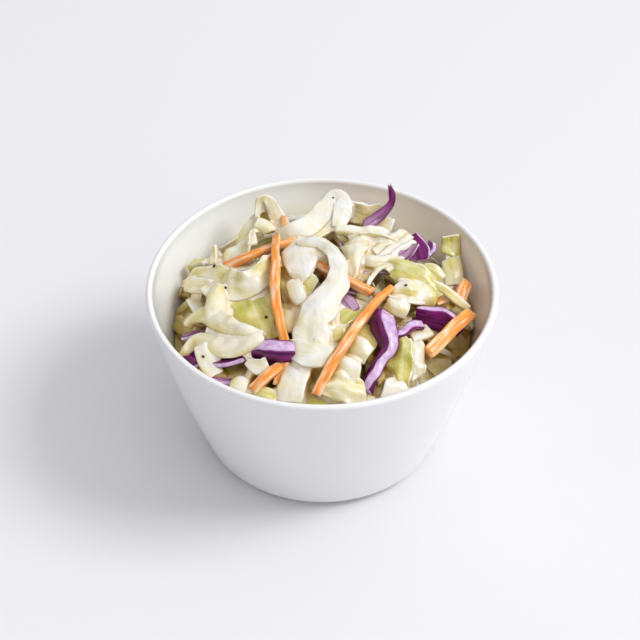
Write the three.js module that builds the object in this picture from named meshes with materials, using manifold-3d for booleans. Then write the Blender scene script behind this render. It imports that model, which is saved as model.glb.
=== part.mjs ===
// Coleslaw in a small white porcelain bowl, in millimetres, +Z up.
// The origin is the centre of the bowl's foot, on the table.
// There are two solids: the bowl, and the heap of slaw in it.
import * as THREE from "three";
import { mergeVertices } from "three/addons/utils/BufferGeometryUtils.js";
import Module from "manifold-3d";

const wasm = await Module();
wasm.setup();

// ---- driving dimensions ----

const RIM_RADIUS = 55; // outside of the rim
const HEIGHT = 61; // table to the top of the rim
const BASE_RADIUS = 33.4; // where the flat foot turns up into the wall
const CORNER_RADIUS = 6.6; // outer turn from the foot to the wall
const BULGE = 1; // how far the wall bellies out at half height
const RIM_WALL = 2.2; // wall thickness just under the lip
const BASE_WALL = 3.2; // wall thickness above the floor
const FLOOR = 4; // thickness of the floor
const INNER_CORNER = 9; // inner turn from the floor to the wall
const FOOT_RADIUS = 29; // inner edge of the foot ring
const FOOT_RECESS = 1; // how far the middle of the base stands off the table
const WALL_TILT = THREE.MathUtils.degToRad(-15); // of the wall's outward normal, below level
const SIDES = 48; // facets round the bowl

const GAP = 0.3; // room between the heap and the bowl
const WALL_LEVEL = 46; // height of the heap at the bowl's wall
const CROWN = 14; // how much higher the heap is at its middle
const HEAP_RADIUS = 50;
const CROWN_POWER = 3; // a higher power makes a flatter top with a steeper edge
const CORE_DEPTH = 2.6; // how far the core lies under the heap's surface
const CORE_RINGS = 7;
const BUMP = { rise: 1.1, length: 12 }; // height of the core's bumps, and the distance from one to the next
const HUMPS = [
  { x: 28, y: 34, rise: -3, spread: 10 },
  { x: 38, y: -20, rise: -3, spread: 9 },
  { x: -6, y: 34, rise: 2, spread: 12 },
];
const LOOSE_TOP = 90; // higher than any shred stands

// ---- the shreds that show ----
// width: mm across, from one end to the other; roll: degrees that the shred is turned about its own length;
// route: [x, y, lift], where lift is the height above the heap's surface.

const CARROT_STICKS = {
  thick: 2.6,
  pieces: [
    { width: [3.3, 3.1, 2], route: [[-2, -41.5, 1], [7.5, -28, 5], [18, -9, 4], [21.5, -2.5, 2.5]] },
    { width: [2.6, 3.1], route: [[-14.5, 17.5, 6], [-14.5, -6, 5.5], [-11, -27, 2]] },
    { width: [3.4, 2.2], route: [[-31, 10.5, 3], [-16.5, 15, 4], [-8.5, 19, 3]] },
    { width: [1.8, 2.4], route: [[-12.5, 33, 4.5], [-12, 24.5, 1]] },
    { width: [2.8, 3.2], route: [[-2, 7, 1.5], [8.5, -1.5, 3], [15.5, -5.5, 2.5]] },
    { width: [3.6, 3.8], route: [[32, -24, 3], [41, -12.5, 5], [46.5, -4, 3.5]] },
    { width: [3, 3.2], route: [[41.5, 2.5, -2], [47, 14, 3.5]] },
    { width: [3, 3], route: [[-20.5, -38, 0.5], [-12.5, -33, 2]] },
  ],
};

const RED_CABBAGE = {
  thick: 2,
  pieces: [
    {
      width: [3.6, 3.2, 1.2],
      roll: [-10, 10, 30],
      route: [[13, 28, 1], [16.5, 31, 8], [20, 33, 13], [22, 34, 17], [23, 35, 22.5]],
    },
    { width: [5, 7, 4], roll: [-50], route: [[26, 20.5, 0.5], [29.5, 24, 3], [36.5, 27, 1]] },
    {
      width: [7, 7.5, 5.4, 2.4],
      roll: [-25, -60, -100, -110],
      route: [[18, -12.5, 3], [18.5, -20.5, 5], [18.5, -28, 5], [15, -35.5, 3.5], [13.5, -39, 0.5]],
    },
    { width: [2.8, 2.4], roll: [-90], route: [[20, -22.5, 4], [25, -19.5, 4.5], [30.5, -13.5, 2]] },
    { width: [4, 7.5, 4.5], roll: [-65], route: [[28.5, -9, 1], [35, -9.5, 4], [42.5, -7.5, 1]] },
    {
      width: [5, 7.5, 3],
      thick: 4,
      roll: [-70, -95, -100],
      route: [[-24, -27, 0.5], [-17, -29.5, 3.5], [-7, -28, 2.5]],
    },
    { width: [5.5, 5], roll: [-50], route: [[-34, -25.5, 0], [-23, -27, 0]] },
    { width: [7, 7], roll: [-30], route: [[-42.5, -17.5, -1], [-36, -24, -1]] },
  ],
};

const WHITE_CABBAGE = {
  thick: 1.5,
  pieces: [
    {
      width: [5, 4.6, 6, 10, 6],
      roll: [-20, 15, 10, 0, 0],
      route: [[-5, 18.5, 2], [2.5, 12, 6], [6, -1.5, 6.5], [2, -15.5, 5], [-5.5, -27.5, 0.5]],
    },
    {
      width: [8, 8, 6, 4],
      roll: [-25, -20, -10, -30],
      route: [[-18.5, 22, 1], [-6, 24, 3.5], [0, 30, 5], [5, 36, 12], [10, 38, 12.5]],
    },
    { width: [9, 10, 6], route: [[6, 37, 10.5], [6.5, 33, 4], [3, 23, 0]] },
    { width: [4, 9, 6], roll: [20, 0], route: [[21, 36, 14], [13, 34.5, 7], [8, 27, 1]] },
    { width: [5, 11, 10], roll: [15, 0], route: [[-21.5, 33, 11], [-26, 29, 5], [-33, 19, -2]] },
    { width: [4, 9, 8], route: [[-18.5, 36, 13], [-17.5, 33, 4.5], [-16.5, 24, 1]] },
    { width: [3.3, 3.3], thick: 2.2, route: [[-23, 29, -1.5], [-23, 22, 3.5], [-23.5, 15, -1.5]] },
    {
      width: [3, 12, 14, 9, 4.5],
      roll: [-10, -20],
      thick: 1,
      route: [[-44.5, 12.5, 0], [-38, 9, 2], [-27, -2, 3], [-19.5, -1, 4.5], [-16.5, 7.5, 6]],
    },
    { width: [6, 7, 5], route: [[-32.5, 2.5, 2.5], [-32.3, -7, 3.5], [-31.5, -13, 1]] },
    {
      width: [5, 7.5, 6, 4.5],
      thick: 2,
      roll: [-15, -25],
      route: [[-41.5, -10, -1], [-33, -13, 3], [-25, -20.5, 4.5], [-17, -23.5, 3]],
    },
    {
      width: [5, 7, 5, 4],
      roll: [-50],
      route: [[-42.5, -18.5, -1], [-35, -21, 2.5], [-25.5, -26.5, 3.5], [-17, -25, 3]],
    },
    { width: [4.4, 3.6], route: [[-38.5, -19.5, 3], [-34.5, -27.5, 2], [-32, -31, -1]] },
    { width: [3.2, 2.6], roll: [-10, 0], route: [[29, 11, 1], [37, 1, 4.5], [47, -1.5, 3]] },
    { width: [3, 3, 2.4], route: [[20, 11, 1], [24.5, 19.5, 3.5], [29.5, 29, 6]] },
    { width: [3, 3, 2.4], route: [[17.5, 5, 1], [22.5, 9, 4], [29, 19.5, 1]] },
    {
      width: [6, 6.5, 5, 4],
      roll: [-30, -20, 10],
      route: [[6.5, 22.5, 2], [15, 23.5, 5], [21, 14.5, 5], [16.5, 8, 1]],
    },
    { width: [8, 9, 7], thick: 1.1, route: [[9.5, 20, 2], [12, 10, 3.5], [12, 2, 0]] },
    { width: [6, 7, 5], thick: 2.6, route: [[7.5, -25.5, 1], [11.5, -28, 3], [15, -29.5, 1]] },
    { width: [6, 7, 5], thick: 2.6, route: [[5.5, -32, 1], [8, -34, 2.5], [11, -35, 1]] },
    { width: [8, 10, 6], route: [[1.5, -38.5, 0], [9, -39.5, 1], [15.5, -39.5, -1]] },
    { width: [6, 5, 2.4], roll: [-20], route: [[-16, -32.5, 1], [-18.5, -33, 2], [-22.5, -30, 0.5]] },
    { width: [6, 6.5, 5], route: [[-6.5, -34.5, 1], [-9, -39, 0.5], [-10, -42, -1]] },
    { width: [9, 10, 9], thick: 2.2, route: [[-7, -30.5, 1], [-3, -31.5, 2.5], [1.5, -32, 0]] },
    { width: [6, 7, 6], roll: [-20], route: [[21.5, -9.5, 1], [25, -11, 3], [29, -7, 1]] },
    { width: [5, 5.5, 5], roll: [-20], route: [[26.5, -19.5, 1], [29.5, -18, 2], [33, -14, 0]] },
    { width: [8, 10, 9], thick: 2, route: [[-11, 15, 1.5], [-8, 8, 3], [-5.5, 3, 1]] },
    { width: [3, 3.4, 3], route: [[-10.5, 0, 1], [-8.5, -7, 2.5], [-5, -12.5, 0.5]] },
  ],
};

const GREEN_LEAVES = {
  thick: 1.1,
  pieces: [
    { width: [9, 15, 14, 9], route: [[-25, -1, 0], [-22, -10, 1.5], [-18.5, -18, 1], [-16.5, -22.5, 0]] },
    { width: [6, 9, 8], route: [[-10, -6.5, 0.5], [-9, -14.5, 1.5], [-9, -21, 0]] },
    { width: [4, 4], thick: 3.2, route: [[-41.5, 19.5, 0.5], [-36.8, 19.5, -1]] },
    { width: [6.2, 6.6], route: [[42, 25, 14], [42, 23, 10], [42.3, 19, 4]] },
    { width: [6.4, 7], route: [[42, 18.5, 6], [42, 14, 1], [40.5, 8, -2.5]] },
    {
      width: [3, 8, 10, 7],
      roll: [-10, 0],
      route: [[20, 7.5, 1], [27, 1.5, 3.5], [33, -0.5, 2.5], [37.5, -0.5, 0]],
    },
    { width: [5, 8, 8], route: [[24, -20.5, 2], [22.5, -28, 3], [24, -35, -1]] },
    { width: [6, 9, 8], route: [[27.5, -22, 1], [28.5, -27, 1.5], [30, -31.5, -1]] },
    { width: [5, 9, 9], route: [[-12.5, 4, 0], [-8, 0.5, 1], [-2.5, -3, 0]] },
  ],
};

// Shorter shreds half sunk in the core, spread evenly over the heap by a sunflower spiral.
const FILL = {
  count: 24,
  seed: 7,
  radius: 44,
  length: [10, 17],
  width: [3, 6],
  thick: 1.6,
  roll: [-35, 35],
  lift: [-2.2, -1.2],
  arch: 1, // how far the middle stands above that lift, and the ends below it
};
const GOLDEN_ANGLE = Math.PI * (3 - Math.sqrt(5));

const STEPS = 2; // cross-sections for each stretch of a route
const WIDE = 8; // a shred this wide or wider is arched across its width
const ARCH = 0.1; // height of that arch as a share of the width

// ---- solids ----

// A closed geometry as a manifold solid.
function solidOf(geometry) {
  geometry.deleteAttribute("normal");
  geometry.deleteAttribute("uv");
  const merged = mergeVertices(geometry, 1e-4);
  return new wasm.Manifold(
    new wasm.Mesh({
      numProp: 3,
      vertProperties: new Float32Array(merged.attributes.position.array),
      triVerts: new Uint32Array(merged.index.array),
    }),
  );
}

function geometryOf(solid) {
  const mesh = solid.getMesh();
  const geometry = new THREE.BufferGeometry();
  geometry.setAttribute("position", new THREE.BufferAttribute(mesh.vertProperties, 3));
  geometry.setIndex(new THREE.BufferAttribute(mesh.triVerts, 1));
  geometry.computeVertexNormals();
  return geometry;
}

// The largest body of a solid: loose scraps and sealed hollows are dropped.
function largestBody(solid) {
  const bodies = solid.decompose();
  return bodies.reduce((best, body) => (body.volume() > best.volume() ? body : best));
}

// A round solid from a profile of [radius, height] points, which runs from the foot outwards and up.
function turned(profile) {
  const points = profile.map(([radius, height]) => new THREE.Vector2(radius, height));
  return new THREE.LatheGeometry(points, SIDES).rotateX(Math.PI / 2);
}

// ---- the bowl ----

function arc(centreR, centreZ, radius, fromAngle, toAngle, steps) {
  const points = [];
  for (let i = 0; i <= steps; i++) {
    const angle = THREE.MathUtils.lerp(fromAngle, toAngle, i / steps);
    points.push([centreR + radius * Math.cos(angle), centreZ + radius * Math.sin(angle)]);
  }
  return points;
}

// The wall's face from its lower to its upper end, bellied out by BULGE at the middle.
function belly([r0, z0], [r1, z1], steps) {
  const points = [];
  for (let i = 1; i < steps; i++) {
    const t = i / steps;
    const out = BULGE * 4 * t * (1 - t);
    points.push([THREE.MathUtils.lerp(r0, r1, t) + out, THREE.MathUtils.lerp(z0, z1, t)]);
  }
  return points;
}

const WALL_STEPS = 4;
const CORNER_STEPS = 4;
const LIP_STEPS = 6;

function outerProfile() {
  const turn = arc(BASE_RADIUS, CORNER_RADIUS, CORNER_RADIUS, -Math.PI / 2, WALL_TILT, CORNER_STEPS);
  const lipRadius = RIM_WALL / 2;
  const lip = arc(
    RIM_RADIUS - lipRadius,
    HEIGHT - lipRadius,
    lipRadius,
    WALL_TILT,
    Math.PI - WALL_TILT,
    LIP_STEPS,
  );
  return [...turn, ...belly(turn.at(-1), lip[0], WALL_STEPS), ...lip];
}

// The inside from the top of the wall down to the middle of the floor, moved inwards by an offset.
function innerProfile(top, offset) {
  const centreR = BASE_RADIUS + CORNER_RADIUS - BASE_WALL - INNER_CORNER;
  const centreZ = FLOOR + INNER_CORNER;
  const turn = arc(centreR, centreZ, INNER_CORNER - offset, WALL_TILT, -Math.PI / 2, CORNER_STEPS - 1);
  const wall = belly([turn[0][0] + offset, turn[0][1]], top, WALL_STEPS).reverse();
  return [...wall.map(([r, z]) => [r - offset, z]), ...turn, [0, FLOOR + offset]];
}

function bowl() {
  const outside = outerProfile();
  return turned([
    [0, FOOT_RECESS],
    [FOOT_RADIUS - FOOT_RECESS, FOOT_RECESS],
    [FOOT_RADIUS, 0],
    ...outside,
    ...innerProfile(outside.at(-1), 0),
  ]);
}

// The space inside the bowl that the heap may fill, carried straight up above the rim.
function room() {
  const top = outerProfile().at(-1);
  const inside = innerProfile(top, GAP);
  return turned([...inside.reverse(), [top[0] - GAP, top[1]], [top[0] - GAP, LOOSE_TOP], [0, LOOSE_TOP]]);
}

// ---- the heap ----

function heapHeight(x, y) {
  const share = Math.hypot(x, y) / HEAP_RADIUS;
  let z = WALL_LEVEL + CROWN * (1 - share ** CROWN_POWER);
  for (const hump of HUMPS) {
    const away = Math.hypot(x - hump.x, y - hump.y) / hump.spread;
    z += hump.rise * Math.exp(-0.5 * away * away);
  }
  return z;
}

function heapNormal(x, y) {
  const step = 0.5; // mm either way over which the slope is taken
  const slopeX = (heapHeight(x + step, y) - heapHeight(x - step, y)) / (2 * step);
  const slopeY = (heapHeight(x, y + step) - heapHeight(x, y - step)) / (2 * step);
  return new THREE.Vector3(-slopeX, -slopeY, 1).normalize();
}

// The core: a round body under the heap's surface with low bumps, wider than the bowl until it is cut to it.
function core() {
  const profile = [[0, 0], [RIM_RADIUS, 0]];
  for (let i = CORE_RINGS; i >= 0; i--) {
    profile.push([(RIM_RADIUS * i) / CORE_RINGS, HEIGHT]);
  }
  const geometry = turned(profile);
  const position = geometry.attributes.position;
  const wave = (2 * Math.PI) / BUMP.length;
  for (let i = 0; i < position.count; i++) {
    if (position.getZ(i) < HEIGHT) continue;
    const x = position.getX(i);
    const y = position.getY(i);
    const bumps = BUMP.rise * Math.sin(wave * x) * Math.cos(wave * y);
    position.setZ(i, heapHeight(x, y) - CORE_DEPTH + bumps);
  }
  return geometry;
}

// A list of numbers read as one smooth run from its first to its last.
function along(list, t) {
  if (list.length === 1) return list[0];
  const place = t * (list.length - 1);
  const i = Math.min(Math.floor(place), list.length - 2);
  return THREE.MathUtils.lerp(list[i], list[i + 1], place - i);
}

// The middle line of a shred with its direction, its side and its face at each cross-section.
function sections({ route, roll = [0] }) {
  const points = route.map(([x, y, lift]) => new THREE.Vector3(x, y, heapHeight(x, y) + lift));
  const curve = new THREE.CatmullRomCurve3(points, false, "catmullrom", 0.5);
  const count = (route.length - 1) * STEPS + (route.length === 2 ? 1 : 0);
  const list = [];
  for (let i = 0; i <= count; i++) {
    const t = i / count;
    const centre = curve.getPoint(t);
    const heading = curve.getTangent(t);
    const level = new THREE.Vector3().crossVectors(heading, heapNormal(centre.x, centre.y)).normalize();
    const side = level.applyAxisAngle(heading, THREE.MathUtils.degToRad(along(roll, t)));
    const face = new THREE.Vector3().crossVectors(side, heading);
    list.push({ t, centre, side, face });
  }
  return list;
}

// A shred as a closed strip: two faces split into triangles alike, and a narrow edge all round.
function shred(piece) {
  const list = sections(piece);
  const widest = Math.max(...piece.width);
  const across = widest >= WIDE ? 2 : 1;
  const positions = [];
  for (const { t, centre, side, face } of list) {
    const width = along(piece.width, t);
    for (const half of [1, -1]) {
      for (let j = 0; j <= across; j++) {
        const u = j / across - 0.5;
        const rise = (half * piece.thick) / 2 + (across > 1 ? ARCH * width * (0.5 - 4 * u * u) : 0);
        const point = centre.clone().addScaledVector(side, u * width).addScaledVector(face, rise);
        positions.push(point.x, point.y, point.z);
      }
    }
  }
  const row = 2 * (across + 1);
  const upper = (i, j) => i * row + j;
  const lower = (i, j) => i * row + across + 1 + j;
  const index = [];
  const quad = (a, b, c, d) => index.push(a, b, c, a, c, d);
  const last = list.length - 1;
  for (let i = 0; i < last; i++) {
    for (let j = 0; j < across; j++) {
      quad(upper(i, j), upper(i, j + 1), upper(i + 1, j + 1), upper(i + 1, j));
      index.push(lower(i, j), lower(i + 1, j + 1), lower(i, j + 1));
      index.push(lower(i, j), lower(i + 1, j), lower(i + 1, j + 1));
    }
    quad(lower(i, 0), upper(i, 0), upper(i + 1, 0), lower(i + 1, 0));
    quad(upper(i, across), lower(i, across), lower(i + 1, across), upper(i + 1, across));
  }
  for (let j = 0; j < across; j++) {
    quad(lower(0, j), lower(0, j + 1), upper(0, j + 1), upper(0, j));
    quad(upper(last, j), upper(last, j + 1), lower(last, j + 1), lower(last, j));
  }
  const geometry = new THREE.BufferGeometry();
  geometry.setAttribute("position", new THREE.Float32BufferAttribute(positions, 3));
  geometry.setIndex(index);
  return geometry;
}

// The same run of random numbers each time (mulberry32).
function randomFrom(seed) {
  let state = seed;
  return () => {
    state = (state + 0x6d2b79f5) | 0;
    let mixed = Math.imul(state ^ (state >>> 15), 1 | state);
    mixed = (mixed + Math.imul(mixed ^ (mixed >>> 7), 61 | mixed)) ^ mixed;
    return ((mixed ^ (mixed >>> 14)) >>> 0) / 4294967296;
  };
}

function fillShreds() {
  const random = randomFrom(FILL.seed);
  const between = ([low, high]) => THREE.MathUtils.lerp(low, high, random());
  const pieces = [];
  for (let i = 0; i < FILL.count; i++) {
    const radius = FILL.radius * Math.sqrt((i + 0.5) / FILL.count);
    const angle = i * GOLDEN_ANGLE;
    const middle = new THREE.Vector2(radius * Math.cos(angle), radius * Math.sin(angle));
    const heading = new THREE.Vector2(1, 0).rotateAround(new THREE.Vector2(), Math.PI * random());
    const half = between(FILL.length) / 2;
    const lift = between(FILL.lift);
    const ends = [-half, half].map((s) => middle.clone().addScaledVector(heading, s));
    pieces.push({
      width: [between(FILL.width)],
      thick: FILL.thick,
      roll: [between(FILL.roll)],
      route: [
        [ends[0].x, ends[0].y, lift - FILL.arch],
        [middle.x, middle.y, lift + FILL.arch],
        [ends[1].x, ends[1].y, lift - FILL.arch],
      ],
    });
  }
  return pieces;
}

function shownShreds() {
  const kinds = [WHITE_CABBAGE, GREEN_LEAVES, RED_CABBAGE, CARROT_STICKS];
  return kinds.flatMap(({ thick, pieces }) => pieces.map((piece) => ({ thick, ...piece })));
}

function slaw() {
  let heap = solidOf(core());
  for (const piece of [...fillShreds(), ...shownShreds()]) {
    heap = heap.add(solidOf(shred(piece)));
  }
  return geometryOf(largestBody(heap.intersect(solidOf(room()))));
}

// ---- materials ----

function glazedPorcelain() {
  return new THREE.MeshStandardMaterial({ color: "#f4f3f2", roughness: 0.15, metalness: 0 });
}

function dressedSlaw() {
  return new THREE.MeshStandardMaterial({ color: "#e9e6c4", roughness: 0.35, metalness: 0 });
}

// ---- the part ----

function node(name, geometry, material) {
  const mesh = new THREE.Mesh(geometry, material);
  mesh.name = name;
  return mesh;
}

const part = new THREE.Group();
part.add(node("bowl", bowl(), glazedPorcelain()));
part.add(node("slaw", slaw(), dressedSlaw()));

export default part;
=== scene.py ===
import math
import random

import bmesh
import bpy
from mathutils import Color, Euler, Matrix, Vector, noise
from mathutils.bvhtree import BVHTree


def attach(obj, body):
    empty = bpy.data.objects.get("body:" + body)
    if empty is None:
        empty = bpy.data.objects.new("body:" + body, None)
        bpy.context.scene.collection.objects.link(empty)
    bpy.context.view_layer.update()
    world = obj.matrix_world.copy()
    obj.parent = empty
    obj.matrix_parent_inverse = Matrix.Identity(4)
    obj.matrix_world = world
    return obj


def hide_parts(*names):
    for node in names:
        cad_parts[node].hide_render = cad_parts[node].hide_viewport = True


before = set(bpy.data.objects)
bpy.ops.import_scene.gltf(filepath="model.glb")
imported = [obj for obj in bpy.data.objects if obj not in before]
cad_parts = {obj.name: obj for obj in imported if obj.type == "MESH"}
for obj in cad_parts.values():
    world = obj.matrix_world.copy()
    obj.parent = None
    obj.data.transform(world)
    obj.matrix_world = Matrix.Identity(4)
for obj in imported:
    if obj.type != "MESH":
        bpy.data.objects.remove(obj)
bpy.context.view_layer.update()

MM = 0.001
UP = Vector((0, 0, 1))

noise.seed_set(7)  # without it, noise_vector takes its offsets from the clock

# ---- the bowl's dimensions ----

RIM_RADIUS = 55.0  # outside of the rim
HEIGHT = 61.0  # table to the top of the rim
BASE_RADIUS = 33.4  # where the flat foot turns up into the wall
CORNER_RADIUS = 6.6  # outer turn from the foot to the wall
BULGE = 1.0  # how far the wall bellies out at half height
RIM_WALL = 2.2  # wall thickness just under the lip
BASE_WALL = 3.2  # wall thickness just above the foot
FLOOR = 4.0  # table to the floor inside
INNER_CORNER = 9.0  # inner turn from the floor to the wall
FOOT_RADIUS = 29.0  # inner edge of the foot ring
FOOT_RECESS = 1.0  # how far the middle of the base stands off the table
WALL_TILT = math.radians(-15)  # of the wall's outward normal, below level
BOWL_STEPS = 144  # facets round the bowl
CORNER_STEPS = 12
LIP_STEPS = 14
INNER_CORNER_STEPS = 10

# ---- the heap's dimensions ----

WALL_GAP = 0.3  # room between the slaw and the bowl
WALL_LEVEL = 46.0  # height of the heap at the bowl's wall
CROWN = 14.0  # how much higher the heap is at its middle
HEAP_RADIUS = 50.0  # where it meets the wall
CROWN_POWER = 3  # a higher power makes a flatter top with a steeper edge
CORE_DEPTH = 5.5  # how far the core lies under the heap's surface
CORE_RINGS, CORE_STEPS = 60, 120
DRESSING_VOXEL = 0.75  # fineness of the dressing's surface
CLING = 0.75  # the dressing fills gaps of up to twice this between shreds
FILM_GAP = 0.3  # how far the shreds stand out of the dressing
HUMPS = (  # x, y, rise, spread
    (28, 34, -3, 10),
    (38, -20, -3, 9),
    (-6, 34, 2, 12),
)

# ---- the shreds on top ----

def strip(width, thick, route, **more):
    """One shred: its width along it, its thickness, and its route of (x, y, lift above the heap).

    face: the way its face looks, one direction or several along it; or roll: its turn in degrees from flat.
    cup: sagitta across the width. fold: height of a fold along it, at fold_place across it.
    ripple: wave of its edges. crumple: dents. ragged: unevenness of the cut. slant: skew of its ends.
    tint: green of a leaf or paleness of red cabbage, from end to end. tone: how much dressing clings to it.
    """
    return dict(width=width, thick=thick, route=route, **more)


FRONT = (0, -0.55, 0.85)  # facings
LEFT = (-0.6, -0.6, 0.55)

CARROT = (
    strip((3.2, 3.2, 3, 2.7, 2.3, 1.9), 2.4, ((-2, -41.5, 1), (2.5, -35, 3.5), (7.5, -28, 5), (13, -18, 5),
        (18, -9, 4), (21.5, -2.5, 2.5)), crumple=0.3),
    strip((2.3, 2.8, 3.1, 2.8, 3), 2.5, ((-14.5, 17.5, 6), (-14.5, 4.5, 6), (-14.5, -6, 5.5),
        (-13.5, -15, 4), (-11, -27, 2))),
    strip((3.3, 2.8, 2.4, 2.2), 2.4, ((-31, 10.5, 3), (-24, 11.5, 4), (-16.5, 15, 4), (-8.5, 19, 3))),
    strip((1.4, 2.4), 1.8, ((-12.5, 33, 4.5), (-12, 24.5, 1))),
    strip((2.8, 3.2, 3.2, 2.8), 2.7, ((-2.5, 7.5, 3), (3.5, 3, 3), (8.5, -1.5, 3), (15.5, -5.5, 2.5))),
    strip((4, 4.3, 4.2, 4), 3.2, ((32, -24, 3), (36.5, -18.5, 4.5), (41, -12.5, 5), (46.5, -4, 3.5)),
        crumple=0.2),
    strip((3.8, 4.4, 3.8), 3.4, ((43, 3, 0), (44.5, 6.5, 2.4), (46, 10.5, 3.6))),
    strip((3, 3.2, 2.8), 2.6, ((-20.5, -38, 0.5), (-17, -36, 2), (-12.5, -33, 2))),
    strip((4.2, 4.2), 2.4, ((-11.5, -31, 1), (-12.5, -37, -1))),
    strip((2.4, 2.4), 2, ((35.5, -2.5, 0.5), (39.5, 1, 1))),
    strip((2.4, 2.8, 2.6), 2.3, ((0, 41.5, 1.4), (5, 43, 1.8), (11, 44.5, 1.2), (17, 43.5, 0.3))),
)

RED_CABBAGE = (
    strip((4.4, 4.6, 4.2, 3.4, 2.7, 2.5, 2.3, 0.7), 0.9, ((14, 25.5, 5.5), (15, 28, 6.5), (17, 30, 8.2),
        (20, 32, 12), (22.2, 33.8, 15.4), (22.7, 34.2, 17.2), (22.5, 34.5, 19.5), (22, 35, 22.5)),
        face=((-0.5, -0.7, 0.5), (-0.4, -0.8, 0.4), (0.3, -0.9, 0.3)), crumple=0.7, fold=0.9,
        fold_place=0.2, ragged=0.2, tint=(0.95, -0.4)),
    strip((3.5, 5.5, 4.5), 1.2, ((24, 12.5, 3.5), (27, 14.5, 5.2), (29.5, 19.5, 6.2)), face=LEFT, cup=-0.6,
        tint=(0.8, 0.6)),
    strip((4, 7, 8, 6), 1.6, ((29, 26, 8), (30, 24, 5.5), (31, 20, 4), (31.5, 17, 2)),
        face=(0.1, -0.85, 0.5), cup=1.2),
    strip((2.5, 4.5, 4), 1.6, ((35.5, 25, 8), (35, 23, 5), (33.5, 18.5, 3)), face=(-0.5, -0.7, 0.5), cup=0.8,
        tint=(0.4, 0.1)),
    strip((4, 6.5, 6.5, 5.5, 5, 4, 3.4, 2.4), (6.2, 7.6, 7, 4.6, 3.6, 3.6, 3.8, 3), ((19, -12.5, 1),
        (18.5, -18, 2), (19.5, -22.5, 2), (20, -26, 2), (18, -29.5, 1.5), (16, -33.5, 1), (14, -36.5, 0.5),
        (13.5, -38.5, -1)), face=((-0.82, -0.2, 0.48), (-0.82, -0.2, 0.48), (-0.82, -0.2, 0.48),
        (-0.82, -0.2, 0.4), (-0.84, 0.1, 0.15), (-0.85, 0.4, -0.15))),
    strip((1.6, 2, 2), (2.6, 3.2, 3.4), ((22, -22.5, 3.5), (25, -20.5, 4), (27.5, -17, 3.8),
        (30.5, -14.5, 2.5)), face=(-0.2, -0.95, 0.1)),
    strip((5, 7, 7.5, 6, 4), (2.6, 3.2, 3.2, 3.8, 3.4), ((29, -8.5, -0.5), (32.5, -9, 0.5),
        (36.5, -8.5, 0.8), (40, -8.5, 0.3), (43, -8, -1)), face=(0.05, -0.97, 0.15), crumple=0.8),
    strip((4.5, 6, 5), 1.2, ((6, -8.5, 2), (8, -12, 3), (9.5, -14.5, 2)), face=FRONT, cup=-0.7, tint=(1, 1)),
    strip((3, 4.5, 6, 6.5, 6.5, 6), (1.6, 2.4, 5, 6.5, 6.5, 5.5), ((-25.5, -26, -1), (-21.5, -27, 0),
        (-18, -27.5, 0.8), (-14.5, -28.5, 1.5), (-11, -29, 1.5), (-7.5, -29, 1)),
        face=(0.05, -0.98, -0.05), crumple=0.8, ragged=0.15),
    strip((5.5, 6, 5), 1.8, ((-34, -25.5, 0), (-29, -27.5, 0.5), (-23, -27, 0)), roll=-50),
    strip((4.5, 4.5), 1.6, ((-43, -11.5, -1), (-36.5, -13, -1)), roll=-40, tint=(0.4, 0)),
    strip((7, 7), 1.6, ((-42.5, -17.5, -1), (-36, -24, -1)), roll=-30),
    strip((3, 3.5, 3), 1.5, ((-33, -29.5, -1), (-29, -32, -1), (-25.5, -32.5, -1.5)), roll=-50,
        tint=(0.5, 0.5)),
    strip((4, 4), 1.2, ((7.5, 21.5, -1), (8.5, 13.5, -1.5)), roll=-30),
    strip((3, 3), 1.2, ((12.5, 6.5, 0.5), (21, 7.5, 0.5)), roll=-30),
    strip((3.4, 3.4), 1.2, ((6.5, -1.5, -0.5), (11, -2.5, -0.5)), roll=-30),
    strip((3, 4.5, 3.5), 1.5, ((0, 43.5, 1.4), (6.5, 43.5, 2), (12, 41.5, 1.6)), roll=-35, cup=-0.4),
    strip((3, 4, 3), 1.4, ((41, -21, -7), (44, -16, -6.5), (46.5, -10, -6.5)), roll=-25, tint=(0.3, 0.3)),
)

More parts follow.
